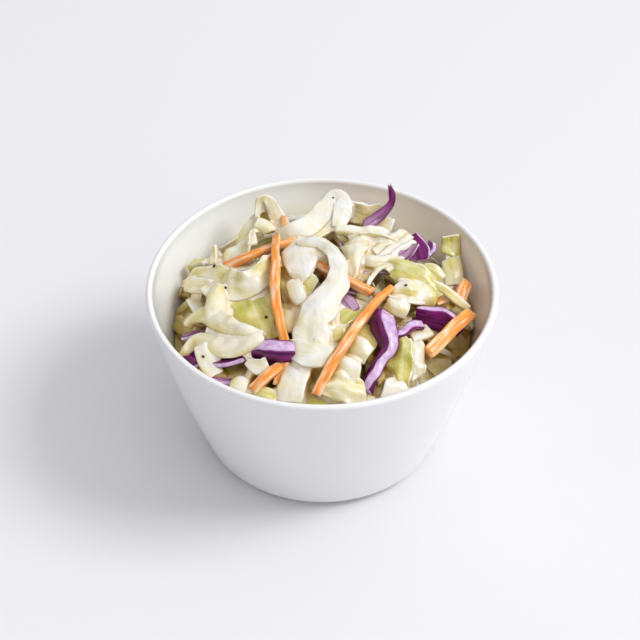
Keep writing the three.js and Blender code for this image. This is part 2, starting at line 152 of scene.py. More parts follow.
WHITE_CABBAGE = (
    # the broad shred over the middle, and the leaf under its bend
    strip((3, 4, 4.5, 5, 6, 6.5, 7.6, 9.2, 10.4, 10.4, 11.4, 10.5), 1.3, ((-7.5, 13.5, 4.5), (-4.5, 13.5, 6),
        (-0.5, 13, 6.5), (3, 8.5, 7), (5, 2.5, 7), (5, -4, 6.5), (3.2, -9.5, 6), (0, -15, 5.5),
        (-2.6, -19.5, 5), (-3.5, -24, 4.4), (-4.2, -29, 3)), face=((-0.2, -0.4, 0.9), (0.3, -0.4, 0.85),
        (0.3, -0.4, 0.85), (-0.1, -0.45, 0.9), (-0.1, -0.5, 0.85)), cup=-0.8, fold=0.5, fold_place=-0.25,
        crumple=0.55, ripple=0.25, ragged=0.2, tint=(0.05, 0), tone=0.6),
    strip((6, 9, 9.5, 8, 5), 1.5, ((-9.5, -29, 2.6), (-6, -30.5, 3.6), (-2, -31, 3.8), (2, -30, 3.4),
        (5, -27.5, 2.4)), face=FRONT, fold=0.6, fold_place=0.3, crumple=0.9, ripple=0.5, ragged=0.4,
        tint=(0, 0.2), tone=0.8),
    strip((5, 6, 5), 1, ((-3, 14, 4), (-0.5, 9.5, 3.5), (1, 5, 3)), face=LEFT, cup=0.6, tint=(0.3, 0.4)),
    # the long band that climbs to the curl at the back
    strip((4, 6.5, 7, 7, 6.4, 5.8, 5.8, 6.4, 4), 1.5, ((-14, 22.5, 2), (-10, 22, 3.5), (-6, 23.5, 4),
        (-2, 28, 4.5), (1, 32, 7.4), (2.9, 34.8, 9.6), (4.4, 36.2, 10.8), (6, 35.6, 11), (6.6, 33.4, 9.4),
        (6.3, 30.8, 7), (5.6, 28.5, 5), (5.2, 26.4, 3)), face=((-0.1, -0.6, 0.8), (-0.1, -0.6, 0.8),
        (-0.1, -0.6, 0.8), (0.1, -0.75, 0.65), (0.1, -0.9, 0.4)), cup=-0.3, ripple=0.2, crumple=0.2,
        ragged=0.06, slant=0, tint=(0.05, 0.1), tone=0.4),
    strip((6, 8, 7.5, 3), 1, ((7.5, 35, 8), (11.5, 33.5, 7.5), (15.5, 33.5, 8.5), (20, 35.5, 13)),
        face=(-0.45, -0.8, 0.4), cup=1.1, ripple=0.2, crumple=0.15, tint=(0.15, 0.1), tone=-0.4),
    strip((6, 7, 4), 0.9, ((16.5, 27, 3), (19, 30, 5.5), (22, 33, 10.5)), face=(-0.1, -0.75, 0.65), cup=0.4,
        tint=(0.15, 0.1)),
    # the leaves at the back left
    strip((10, 9, 6, 2.5), 0.7, ((-28, 15, 1.5), (-26.5, 20, 3.5), (-24, 28.5, 4.5), (-22, 33.5, 8.5)),
        face=(-0.5, -0.8, 0.35), cup=0.6, crumple=0.5, tint=(0.25, 0.15)),
    strip((1.2, 1.6, 2.6, 4.4, 5.6, 5.2, 4), 0.9, ((-21, 30, 4.5), (-21, 33, 9), (-20, 35, 13),
        (-17.5, 35, 12.5), (-15.5, 34, 7), (-13.5, 31, 2.5), (-11.5, 23.5, 2.5)), face=(0.2, -0.8, 0.55),
        tint=(0.02, 0), tone=0.7),
    strip((4, 5.5, 6), 0.8, ((-19.8, 36.2, 12.5), (-19.3, 35.8, 8), (-18.8, 34.5, 3.5)),
        face=(-0.2, -0.9, 0.3), cup=0.6, tint=(0.75, 0.6)),
    strip((4, 5, 4.5), 1.9, ((-21.5, 29, 6), (-19, 28, 5), (-16.5, 26, 2.5)), face=FRONT, cup=-0.9),
    strip((2.6, 3.2, 3), 1.6, ((-23.5, 27, 3.2), (-22.8, 22, 4.6), (-22.3, 17.5, 4)), face=(-0.1, -0.7, 0.7),
        cup=-0.4, tint=(0, 0)),
    # the leaf at the left, and the folded shreds in front of it
    strip((2, 7, 10, 12, 11, 9, 7, 4), 0.8, ((-45, 13.5, 0.5), (-40.5, 11.5, 1.5), (-36, 7.5, 2.5),
        (-30.5, 0.5, 3.5), (-25.5, -2.5, 4), (-21, -1.5, 4.5), (-18, 2.5, 5), (-16, 8.5, 6)), cup=0.6,
        ripple=0.7, crumple=0.5, tint=(0.2, 0.3), face=((-0.1, -0.4, 0.9), FRONT, FRONT, (0.1, -0.5, 0.8),
        (0.6, -0.4, 0.65))),
    strip((3, 5.5, 5), 1.2, ((-44, 12, 0), (-39.5, 6, 2), (-35.5, 2, 2.5)), face=FRONT, ripple=0.5),
    strip((4, 6, 6.5, 6.5, 5), 1.3, ((-31, -1.5, 4.2), (-32.3, -5.5, 5), (-33, -9.5, 5), (-33, -12.5, 4.4),
        (-32.5, -15.5, 3)), face=((0.1, -0.6, 0.8), (-0.1, -0.6, 0.8)), cup=-0.4, fold=0.9, fold_place=0.3,
        crumple=0.5, tint=(0.35, 0.2)),
    strip((2.5, 4, 5.5, 6.5, 6, 4.5, 4.5, 3.5), 1.5, ((-42, -9.5, 0.5), (-40.5, -9, 2), (-36.5, -10.5, 3.5),
        (-32, -15, 4.5), (-28, -19, 4.5), (-24, -22, 4.5), (-20.5, -23.5, 4.5), (-18, -24, 4)),
        face=(-0.1, -0.55, 0.8), cup=-0.8, crumple=0.9, fold=0.6, fold_place=-0.35, tint=(0.35, 0.05)),
    strip((2.5, 3.5, 4.5, 6, 6.5, 5.5, 4.5, 3.5), 1.5, ((-43, -20, 0), (-41, -18.5, 1.5),
        (-37.5, -18.5, 2.5), (-33, -23, 3.5), (-28.5, -26, 4), (-24, -27, 4.5), (-20, -25.5, 4.5),
        (-18, -24, 4)), face=(0, -0.65, 0.75), cup=-0.5, crumple=0.85, fold=0.6, fold_place=0.3,
        tint=(0.1, 0.05)),
    strip((5, 5.5, 5.5, 5), 1.8, ((-36.5, -22, 4), (-36, -25, 3.5), (-34, -28.5, 2.5), (-32, -31, 1)),
        face=(-0.2, -0.6, 0.75), cup=-0.5, tint=(0, 0.05)),
    # the folds between the upright carrot and the broad shred
    strip((7, 10.5, 11.5, 9.5, 4.5), 0.9, ((-9, 18, 3.2), (-7.8, 12.5, 4.8), (-6.8, 7.5, 5),
        (-5.6, 2.5, 4.2), (-5, -1, 3)), face=((0.1, -0.5, 0.85), (0.2, -0.5, 0.85)), fold=1,
        fold_place=-0.5, cup=-0.5, crumple=0.35, ripple=0.4, tone=1),
    strip((3, 4.2, 4.4, 3.4), 2.6, ((-10, -2.5, 3.4), (-8.6, -6, 4.1), (-7.2, -9.5, 4.1),
        (-5.8, -12.5, 3.2)), face=FRONT, cup=-0.5, crumple=0.5, tone=0.3),
    # the folded fan at the back right
    strip((3, 4, 5, 6, 5), 1.1, ((4.5, 24.5, 3.2), (9, 23.5, 4.4), (13.5, 23, 4.6), (18, 23.5, 5),
        (22, 23, 5)), face=(0, -0.65, 0.75), cup=-0.5, fold=0.5, crumple=0.8, ripple=0.5, tone=0.3),
    strip((6, 8, 8, 6), 1, ((11.5, 20, 3), (15.5, 19, 3.5), (19, 19, 3.5), (22.5, 18.5, 3)),
        face=(-0.2, -0.85, 0.5), cup=0.9, ripple=0.5, tint=(0.1, 0.1), tone=-1),
    strip((8, 8, 5.5, 2.4), 1, ((11, 21, 3.8), (10, 13.5, 4.6), (9.5, 6.5, 4), (10.5, 1, 2.8)),
        face=((-0.2, -0.75, 0.6), (-0.1, -0.6, 0.8)), cup=-0.9, fold=0.5, fold_place=-0.2, crumple=0.9,
        ripple=0.4, ragged=0.25, tint=(0.1, 0.05), tone=-0.6),
    strip((3, 3.6, 3.2, 2.2), 1, ((18.5, 11, 3.5), (22, 15, 4.5), (26, 20.5, 6), (28.5, 24.5, 8)),
        face=(-0.2, -0.6, 0.75), cup=-0.5, crumple=0.8, ragged=0.3, tone=0.2),
    strip((2.6, 3.4, 3, 1.8), 1, ((20, 9, 3.5), (24, 13, 4.5), (27.5, 18.5, 5.5), (29.5, 22, 7)),
        face=(0.2, -0.6, 0.75), cup=-0.4, crumple=0.8, ragged=0.3, tone=0.4),
    strip((3, 4, 3.8, 2.4), 0.9, ((16.5, 13, 4), (20, 18, 5), (23.5, 22.5, 6.5), (26.5, 26, 9)),
        face=(-0.3, -0.6, 0.7), cup=-0.6, crumple=0.9, ragged=0.3, tone=0),
    strip((2.4, 3.4, 2.6), 1, ((22, 9.5, 3), (25.5, 13.5, 4), (29, 18, 5)), face=FRONT, cup=-0.4,
        crumple=0.8, ragged=0.3, tint=(0, 0.1)),
    strip((3, 4.4, 4, 3), 1.8, ((13, 8.5, 3), (16.5, 8, 3.5), (20, 8.5, 3.5), (24.5, 12, 3.5)), face=FRONT,
        cup=-0.6, crumple=0.6),
    strip((1.4, 1.5, 1.5, 1.4, 1.2), 1.2, ((26, 12.5, 4), (22, 8.5, 4), (18, 4, 4), (15, 0, 3), (14, -2, 2)),
        tint=(0.1, 0.1)),
    strip((2.4, 3, 3, 2.8, 2.4), 1.5, ((30, 5, 3), (34, 2, 4), (38.5, 0, 4.5), (42.5, -1, 4), (46, -1.5, 3)),
        face=FRONT, tint=(0.35, 0.1)),
    strip((5, 7, 7.5, 5), 1, ((22.5, -2, 3), (27, -3.5, 3.5), (31.5, -3, 3), (36, -2, 2)), face=FRONT,
        cup=-0.3, fold=0.8, crumple=0.9, ripple=0.5, tint=(0.15, 0.6), tone=0),
    # the creamy pieces in front
    strip((5, 9, 8, 4), 1.2, ((-3, -29, 1), (1, -31.5, 1.8), (4, -30, 1.8), (7, -26.5, 0.8)), face=FRONT,
        cup=-0.5, crumple=0.8, ripple=0.5, tint=(0.65, 0.6), tone=-1),
    strip((6, 8, 8.5, 8), 1.5, ((-6.5, -32, 0.8), (-8, -36, 1.7), (-9.3, -40, 1.4), (-10.3, -42.5, 0.5)),
        face=(-0.1, -0.6, 0.8), fold=0.8, fold_place=-0.3, crumple=0.5, ripple=0.3, ragged=0.2,
        tint=(0.1, 0), tone=0.5),
    strip((5, 6.5, 5), 2.6, ((8.5, -26, 2.5), (11, -28.5, 3), (14, -30.5, 2.5)), face=FRONT, cup=-0.8,
        crumple=0.7),
    strip((5, 7, 5.5), 2.6, ((4.5, -32.5, 2), (7.5, -34.5, 2.6), (11, -35.5, 2)), face=FRONT, cup=-0.9,
        crumple=0.7, tint=(0.1, 0)),
    strip((7, 10, 9, 6), 1.3, ((0, -38.5, 1.5), (4, -39.5, 2.2), (8.5, -40, 2), (13, -40.5, 0.8)),
        face=FRONT, fold=0.9, ripple=0.7, crumple=1.1, tint=(0.1, 0.15), tone=-0.6),
    strip((5, 6.5, 5), 2.2, ((18, -38, 0.5), (21.5, -37.5, 1), (25, -35.5, 0.5)), face=FRONT, cup=-0.8,
        tint=(0.1, 0.1)),
    strip((6, 5, 2), 1.6, ((-16, -32.5, 2), (-18.5, -33, 2.2), (-22.5, -30, 2)), face=(-0.2, -0.6, 0.75),
        cup=0.3),
    strip((4.5, 5, 4.5), 2.4, ((-27, -34.5, 0), (-24.5, -35.5, 1), (-22.5, -36.5, 0)), roll=-20, cup=-0.5,
        tint=(0, 0.1)),
    strip((5, 7, 5.5), 1.4, ((20, -8.5, 2.5), (23, -10.5, 3.2), (26.5, -11, 2.5)), face=FRONT, cup=-0.5,
        fold=0.7, crumple=1, ripple=0.4, tint=(0.2, 0)),
    strip((5, 5.5, 5), 2, ((26.5, -19.5, 1.5), (29.5, -18, 2), (33, -14, 1)), roll=-20, cup=-0.5,
        tint=(0.1, 0.1)),
    # lower pieces that show between the others
    strip((5, 5, 4), 1.6, ((1.5, -5.5, 0), (2.5, -9.5, 0), (3, -13.5, -0.5)), tint=(0.1, 0.1)),
    strip((6, 6, 6), 1.4, ((-40, 2.5, -1), (-37.5, -4.5, -1), (-39, -9.5, -1)), roll=-30, tint=(0.1, 0.1)),
    strip((6, 8, 6), 1.4, ((-32, 17.5, 0.5), (-24.5, 10, 1), (-19, 11.5, 1)), roll=-20, tint=(0.1, 0.1)),
    strip((6, 8, 6), 1.4, ((10, -6.5, 0), (12.5, -11, 0.5), (9, -16, 0)), roll=-20, tint=(0.1, 0.1)),
    strip((6, 7, 6), 1.4, ((-30.5, -28.5, -3), (-22, -29.5, -2.5), (-18, -25.5, -2)), roll=-20,
        tint=(0, 0.1)),
    strip((8, 9, 9, 7), 1.1, ((9.5, 20, 1), (11.5, 14, 1.5), (12, 8, 1), (12, 2, 0)), cup=0.8,
        tint=(0.1, 0.05), tone=-1),
    # the far side
    strip((3, 4.5, 4, 2.5), 1.4, ((-28, 33, -0.8), (-23, 37.5, 0), (-16, 40.5, 0)), roll=-20, cup=-0.4,
        tint=(0.2, 0), tone=0.4),
    strip((3, 4.5, 3), 1.5, ((-19, 42.5, -0.5), (-11, 43.5, 0.6), (-3, 41, 1)), roll=15, cup=0.4, tone=0.5),
    strip((4, 6, 5, 3), 1.1, ((-10, 47, -0.8), (-2, 46, 0.5), (6, 44.5, 0.8), (12, 40, 1.5)), roll=-10,
        fold=0.5, crumple=0.8, tint=(0.3, 0), tone=0.2),
    strip((2.5, 3.5, 3), 1.6, ((7, 47, -0.5), (15, 43, 1), (22, 39, 1)), cup=-0.5, tone=0.6),
    strip((4, 5.5, 4), 1.2, ((17, 45, -0.8), (26, 38, 0.8), (33, 31, 0.8)), roll=20, fold=0.5, crumple=0.7,
        tint=(0.1, 0.3), tone=0.1),
    strip((3, 4, 3), 1.4, ((29, 39, -0.8), (35, 31.5, 0), (38, 26, 0)), roll=-15, cup=-0.5, tone=0.4),
    strip((3.5, 5, 3.5), 1.3, ((-2, 38.5, 2), (6, 40.5, 2.5), (14, 38, 2)), roll=-15, cup=-0.5, fold=0.4,
        tone=0.5),
)

GREEN_CABBAGE = (
    strip((9, 14, 16, 14, 9), 0.9, ((-25, -1, 0.5), (-23, -7, 1), (-20.5, -13.5, 1.5), (-18.5, -18, 1),
        (-16.5, -22.5, 0)), cup=-0.6, ripple=0.7, crumple=0.8, tint=(0.8, 0.65), tone=-1),
    strip((4, 7.5, 8), 1, ((-11, -9, 0.5), (-10, -15, 1.4), (-9, -21, 0.5)), cup=-0.5, tint=(0.25, 0.15),
        tone=-0.6),
    strip((5, 7, 7, 6, 5), 1, ((-12, 9, 0.6), (-11, 3.5, 0.4), (-10, -2, 0), (-8.5, -8, -0.4),
        (-7, -14, -0.6)), tint=(1, 0.9), tone=-1),
    strip((4, 4), 3.4, ((-42, 20.5, 2.2), (-36.8, 18.5, 1.5)), tint=(0.8, 0.8)),
    strip((2.2, 2.6, 1), 1.2, ((-35, 16, 1), (-35, 19.5, 3), (-34.5, 22, 6)), tint=(0.6, 0.4)),
    strip((3, 3), 1.2, ((-12, 33, 0.5), (-8, 35.5, 0.5)), tint=(0.8, 0.8)),
    strip((3.6, 3.6), 1.2, ((-4, 21.5, 1), (2.5, 26.5, 1.5)), roll=-20, tint=(0.7, 0.7)),
    strip((3, 3.6, 3), 1.2, ((0.5, 31, 2.2), (3, 31.5, 3.4), (5.5, 31.5, 3.2)), face=FRONT, tint=(1, 0.9),
        tone=-1),
    strip((6.2, 6.6, 6.4), 1, ((42, 26.5, 13.5), (42, 25, 9.5), (41.5, 22, 6)), face=(0.05, -0.8, 0.55),
        cup=-0.5, tint=(0.8, 0.75), tone=-0.6),
    strip((6.4, 7, 6.5), 1, ((41.5, 21.5, 5.5), (42, 17, 2.2), (42.5, 12, -0.5)), face=(0.05, -0.7, 0.7),
        cup=-0.5, tint=(0.4, 0.5), tone=-0.6),
    strip((4, 5.5, 3.5), 1, ((32, 11.5, 2), (35.5, 10.5, 2.5), (38, 9, 1.5)), face=(0.3, -0.7, 0.6),
        cup=-0.5, tint=(0.75, 0.75)),
    strip((5, 9, 11, 9, 4), 1, ((20.5, 6, 3), (24.5, 4, 4), (29, 2, 4), (33, 0, 3.5), (36.5, -1.5, 2.5)),
        face=(FRONT, FRONT, (0.1, -0.5, 0.85)), cup=-0.8, ripple=0.7, crumple=0.9, tint=(0.7, 0.6),
        tone=-0.6),
    strip((5, 6, 5), 1, ((20.5, -5, 2), (25.5, -6.5, 2), (31.5, -4.5, 1)), roll=-40, cup=0.5,
        tint=(0.35, 0.2)),
    strip((2, 6, 8.5, 8, 4), 0.9, ((23.5, -20, 3.2), (24, -25, 3.8), (23.5, -29.5, 3.2), (23, -33.5, 2),
        (23.5, -36, 0.5)), face=(-0.25, -0.7, 0.65), fold=0.9, ripple=0.9, crumple=1, tint=(0.85, 0.7),
        tone=-0.6),
    strip((4, 7.5, 8, 5), 1, ((27, -21, 2.5), (28, -25, 2.8), (28, -29, 2), (29, -32, 0.8)),
        face=(0.35, -0.6, 0.7), cup=-0.3, ripple=0.9, crumple=1, tint=(0.15, 0.4)),
    strip((6, 8, 6), 1, ((15, -16.5, 0), (13.5, -22.5, 0.5), (11.5, -27, 0)), tint=(0.95, 0.85), tone=-1),
    strip((9, 9), 1, ((0.5, -17, -3), (7, -19, -3)), tint=(0.95, 0.95), tone=-1),
    strip((5, 9, 8), 1, ((-10, 3, 1.5), (-6.5, -1, 2.4), (-3, -5, 2)), face=FRONT, cup=-0.5, crumple=0.6,
        tint=(0.75, 0.6)),
    strip((3, 4.2, 3), 1.1, ((0.5, -26, 2), (4.5, -23.8, 2.6), (8.5, -21, 2)), face=FRONT, tint=(0.9, 0.7),
        tone=-0.8),
    strip((3, 6.5, 5), 1, ((5.5, -20, 1.6), (8.5, -16.5, 2.3), (11.5, -12.5, 1.6)), face=FRONT, cup=-0.4,
        tint=(0.9, 0.7), tone=-0.8),
    strip((5, 5), 1, ((-5, -41, -2), (3, -41.5, -2)), tint=(0.95, 0.95), tone=-1),
    strip((3, 4, 3), 1.2, ((-20.5, -38, 0.3), (-16.5, -39.5, 0.8), (-13.5, -41, 0)), tint=(0.5, 0.6)),
    strip((7, 9, 7), 1.2, ((32.5, -23.5, -4.5), (35.5, -20, -4.5), (39.5, -15.5, -5)), roll=-10, cup=-0.4,
        tint=(0.3, 0.3), tone=-1),
    strip((7, 9, 7), 1.2, ((39, -12, -7), (44, -7.5, -7), (47, -1.5, -6)), roll=-10, cup=-0.4, tint=(1, 0.9),
        tone=-1),
    strip((6, 6), 1.2, ((16, -33.5, -1.5), (19, -31.5, -1.5)), roll=-10, tint=(0.5, 0.4)),
    # the far side
    strip((4, 6, 4), 1, ((-14, 45.5, -0.8), (-8, 45.5, 0), (-2, 44, 0.2)), roll=-25, ripple=0.5,
        tint=(0.6, 0.4), tone=-0.4),
    strip((4, 6, 4), 1, ((23, 42, -0.6), (28, 36, 0.6), (30, 30, 1)), roll=10, ripple=0.6, crumple=0.8,
        tint=(0.55, 0.4), tone=-0.4),
)

# ---- the loose shreds between and under them ----

LAYERS = (  # count, lift of the middle, how far the ends lie below it
    (150, (-5.5, -4.0), 0.6),
    (170, (-3.6, -1.6), 1.0),
)
FILL_SEED = 11
FILL_RADIUS = 49.0
CLEAR_RADIUS = 29.0  # loose carrot and red cabbage stay within this
GOLDEN_ANGLE = math.pi * (3 - math.sqrt(5))
HOLLOWS = (  # x, y, depth, spread: where the shreds leave gaps
    (-11, 2, 3, 2.2),
    (-10.5, -6, 4, 2),
    (-7.5, -12.5, 5, 2.2),
    (4, -19, 7, 3),
    (1, 3, 4, 2.6),
    (15, 4.5, 4, 2),
    (-42, -16, 4, 3),
    (-28, -11, 3, 2),
    (-1, -42, 3, 3),
    (18.5, -33, 4, 2.4),
    (39, -26, 8, 4.5),
    (44, -13, 8, 3.5),
    (-46, -6, 6, 5),
    (-46, 6, 4, 4),
    (-25, -30, 2.5, 3),
)
PEPPER = (  # x, y of the grains on top in front
    (-30, -2), (-17, -15.5), (3.6, 35.4), (-25.5, 15.5), (26, -2.5), (-36, -26),
)
PEPPER_SEED = 5
PEPPER_SPREAD = 22  # places of a spiral over the heap
PEPPER_TURN = 0.65  # of the spiral, in radians
PEPPER_RADIUS = 44.0
PEPPER_BACK = 8.0  # of the spiral's grains only those behind this are laid
PEPPER_SIZE = (0.35, 0.6)
FILL_KINDS = (  # kind, share, length, width, thickness
    ("white", 0.56, (11, 22), (2.4, 6.5), (1.0, 2.0)),
    ("green", 0.24, (8, 16), (3.0, 8.0), (0.8, 1.2)),
    ("red", 0.10, (8, 15), (2.2, 4.5), (1.1, 1.8)),
    ("carrot", 0.10, (10, 20), (2.2, 3.2), (2.0, 2.8)),
)


# ---- small helpers ----

def linear(code):
    """An sRGB hex colour as linear RGBA."""
    values = [int(code[i:i + 2], 16) / 255 for i in (1, 3, 5)]
    return (*Color(values).from_srgb_to_scene_linear(), 1.0)


def lerp(a, b, t):
    return a + (b - a) * t


def wobble(a, b, c):
    """Smooth noise between -1 and 1 at a place given by three numbers."""
    return noise.noise(Vector((a, b, c)))


def along(values, t):
    """A list of numbers read as one run from its first, at t = 0, to its last, at t = 1."""
    if len(values) == 1:
        return values[0]
    place = min(max(t, 0.0), 1.0) * (len(values) - 1)
    i = min(int(place), len(values) - 2)
    return lerp(values[i], values[i + 1], place - i)


def heap_height(x, y):
    share = math.hypot(x, y) / HEAP_RADIUS
    z = WALL_LEVEL + CROWN * (1 - share ** CROWN_POWER)
    for hump_x, hump_y, rise, spread in HUMPS:
        away = math.hypot(x - hump_x, y - hump_y) / spread
        z += rise * math.exp(-0.5 * away * away)
    return z


def hollow_depth(x, y):
    """How far the bed and the loose shreds lie lower than elsewhere."""
    return sum(depth * math.exp(-0.5 * (math.hypot(x - px, y - py) / spread) ** 2)
               for px, py, depth, spread in HOLLOWS)


def heap_normal(x, y, step=0.5):
    slope_x = (heap_height(x + step, y) - heap_height(x - step, y)) / (2 * step)
    slope_y = (heap_height(x, y + step) - heap_height(x, y - step)) / (2 * step)
    return Vector((-slope_x, -slope_y, 1)).normalized()


# ---- the bowl's outline ----

def arc(centre, radius, start, end, steps):
    """Points of (radius, height) round a centre, from one angle to another."""
    angles = [lerp(start, end, i / steps) for i in range(steps + 1)]
    return [(centre[0] + radius * math.cos(a), centre[1] + radius * math.sin(a)) for a in angles]


def belly(low, high, steps=16):
    """The wall's face between its lower and its upper end, bellied out at the middle."""
    points = []
    for i in range(1, steps):
        t = i / steps
        points.append((lerp(low[0], high[0], t) + BULGE * 4 * t * (1 - t), lerp(low[1], high[1], t)))
    return points


def outer_profile():
    turn = arc((BASE_RADIUS, CORNER_RADIUS), CORNER_RADIUS, -math.pi / 2, WALL_TILT, CORNER_STEPS)
    lip_radius = RIM_WALL / 2
    lip_centre = (RIM_RADIUS - lip_radius, HEIGHT - lip_radius)
    lip = arc(lip_centre, lip_radius, WALL_TILT, math.pi - WALL_TILT, LIP_STEPS)
    return turn + belly(turn[-1], lip[0]) + lip


def inner_profile(offset=0.0):
    """The inside from the top of the wall down to the middle of the floor, moved inwards by an offset."""
    top = outer_profile()[-1]
    centre = (BASE_RADIUS + CORNER_RADIUS - BASE_WALL - INNER_CORNER, FLOOR + INNER_CORNER)
    turn = arc(centre, INNER_CORNER - offset, WALL_TILT, -math.pi / 2, INNER_CORNER_STEPS)
    wall = belly((turn[0][0] + offset, turn[0][1]), top)[::-1]
    return [(r - offset, z) for r, z in wall] + turn + [(0, FLOOR + offset)]


INSIDE = sorted((z, r) for r, z in inner_profile(WALL_GAP)[:-1])  # height, radius


def wall_radius(z):
    """How far from the middle the slaw may reach at a height."""
    if z >= INSIDE[-1][0]:
        return INSIDE[-1][1]
    for (low, r0), (high, r1) in zip(INSIDE, INSIDE[1:]):
        if z <= high:
            return lerp(r0, r1, (max(z, low) - low) / (high - low))
    return INSIDE[-1][1]


def keep_inside(point):
    """Moves a point of a shred that would cross the bowl's wall back onto it."""
    radius = math.hypot(point.x, point.y)
    most = wall_radius(point.z)
    if radius > most and point.z < HEIGHT:
        point.x *= most / radius
        point.y *= most / radius
    return point


# ---- making pieces ----

def placed(name, data):
    """A new object in the scene."""
    thing = bpy.data.objects.new(name, data)
    bpy.context.scene.collection.objects.link(thing)
    return thing


def mesh_object(name, bm):
    mesh = bpy.data.meshes.new(name)
    bm.to_mesh(mesh)
    bm.free()
    return placed(name, mesh)


def finished(name, bm, material, node, smooth_levels=0):
    """Turns a bmesh in millimetres into a piece that rides on the part and stands for a node."""
    bmesh.ops.recalc_face_normals(bm, faces=bm.faces)
    bmesh.ops.scale(bm, vec=(MM, MM, MM), verts=bm.verts)
    for face in bm.faces:
        face.smooth = True
    piece = mesh_object(name, bm)
    piece.data.materials.append(material)
    if smooth_levels:
        rounding = piece.modifiers.new("rounding", "SUBSURF")
        rounding.levels = rounding.render_levels = smooth_levels
    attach(piece, "root")
    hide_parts(node)
    return piece


def turned(profile, steps):
    """A round body from a profile of (radius, height) points that starts and ends on the axis."""
    bm = bmesh.new()
    verts = [bm.verts.new((r, 0, z)) for r, z in profile]
    edges = [bm.edges.new(pair) for pair in zip(verts, verts[1:])]
    bmesh.ops.spin(bm, geom=verts + edges, cent=(0, 0, 0), axis=UP, angle=2 * math.pi, steps=steps,
                   use_merge=True)
    bmesh.ops.remove_doubles(bm, verts=bm.verts, dist=1e-3)
    return bm


def make_bowl(material):
    foot = [(0, FOOT_RECESS), (FOOT_RADIUS - FOOT_RECESS, FOOT_RECESS), (FOOT_RADIUS, 0)]
    bm = turned(foot + outer_profile() + inner_profile(), BOWL_STEPS)
    return finished("porcelain_bowl", bm, material, "bowl")


def smooth_line(points, steps=12):
    """A Catmull-Rom curve through points."""
    ends = [2 * points[0] - points[1], *points, 2 * points[-1] - points[-2]]
    line = []
    for a, b, c, d in zip(ends, ends[1:], ends[2:], ends[3:]):
        for k in range(steps):
            t = k / steps
            line.append(0.5 * (2 * b + (c - a) * t + (2 * a - 5 * b + 4 * c - d) * t * t
                               + (3 * b - a - 3 * c + d) * t ** 3))
    return [*line, points[-1]]


TWIST, TWIST_LENGTH = 0.15, 9  # how much a shred turns about itself (radians), over what length
SLANT = 0.35  # most that an end is cut askew, as a share of the width
RIPPLE_LENGTH = (7, 10)
CRUMPLE = 0.45  # the usual depth of a shred's dents
WARP, WARP_SIZE = 0.35, 5.5  # shift of every point, and the distance over which it changes
CREASE_ANGLE = 0.6  # radians between the faces of an edge that stays sharp


class Route:
    """The middle line of a shred, with its side and its face at any place along it."""

    def __init__(self, shape, seed):
        self.line = smooth_line([Vector((x, y, heap_height(x, y) + lift)) for x, y, lift in shape["route"]])
        self.reach = [0.0]
        for a, b in zip(self.line, self.line[1:]):
            self.reach.append(self.reach[-1] + (b - a).length)
        self.length = self.reach[-1]
        faces = shape.get("face")
        if faces and not isinstance(faces[0], tuple):
            faces = (faces,)
        self.frames = []
        last = len(self.line) - 1
        for i, centre in enumerate(self.line):
            heading = (self.line[min(i + 1, last)] - self.line[max(i - 1, 0)]).normalized()
            if faces:
                facing = along([Vector(face) for face in faces], i / last)
            else:
                facing = heap_normal(centre.x, centre.y)
            turn = math.radians(shape.get("roll", 0))
            turn += shape.get("twist", TWIST) * wobble(self.reach[i] / TWIST_LENGTH, seed, 0.5)
            side = Matrix.Rotation(turn, 3, heading) @ heading.cross(facing).normalized()
            self.frames.append((side, side.cross(heading)))

    def at(self, distance):
        """The centre, side and face at a distance along the route, also a little past its ends."""
        last = len(self.line) - 1
        i = 0
        while i < last - 1 and self.reach[i + 1] < distance:
            i += 1
        t = (distance - self.reach[i]) / (self.reach[i + 1] - self.reach[i])
        centre = self.line[i].lerp(self.line[i + 1], t)
        held = min(max(t, 0.0), 1.0)
        vectors = [a.lerp(b, held).normalized() for a, b in zip(self.frames[i], self.frames[i + 1])]
        return centre, *vectors


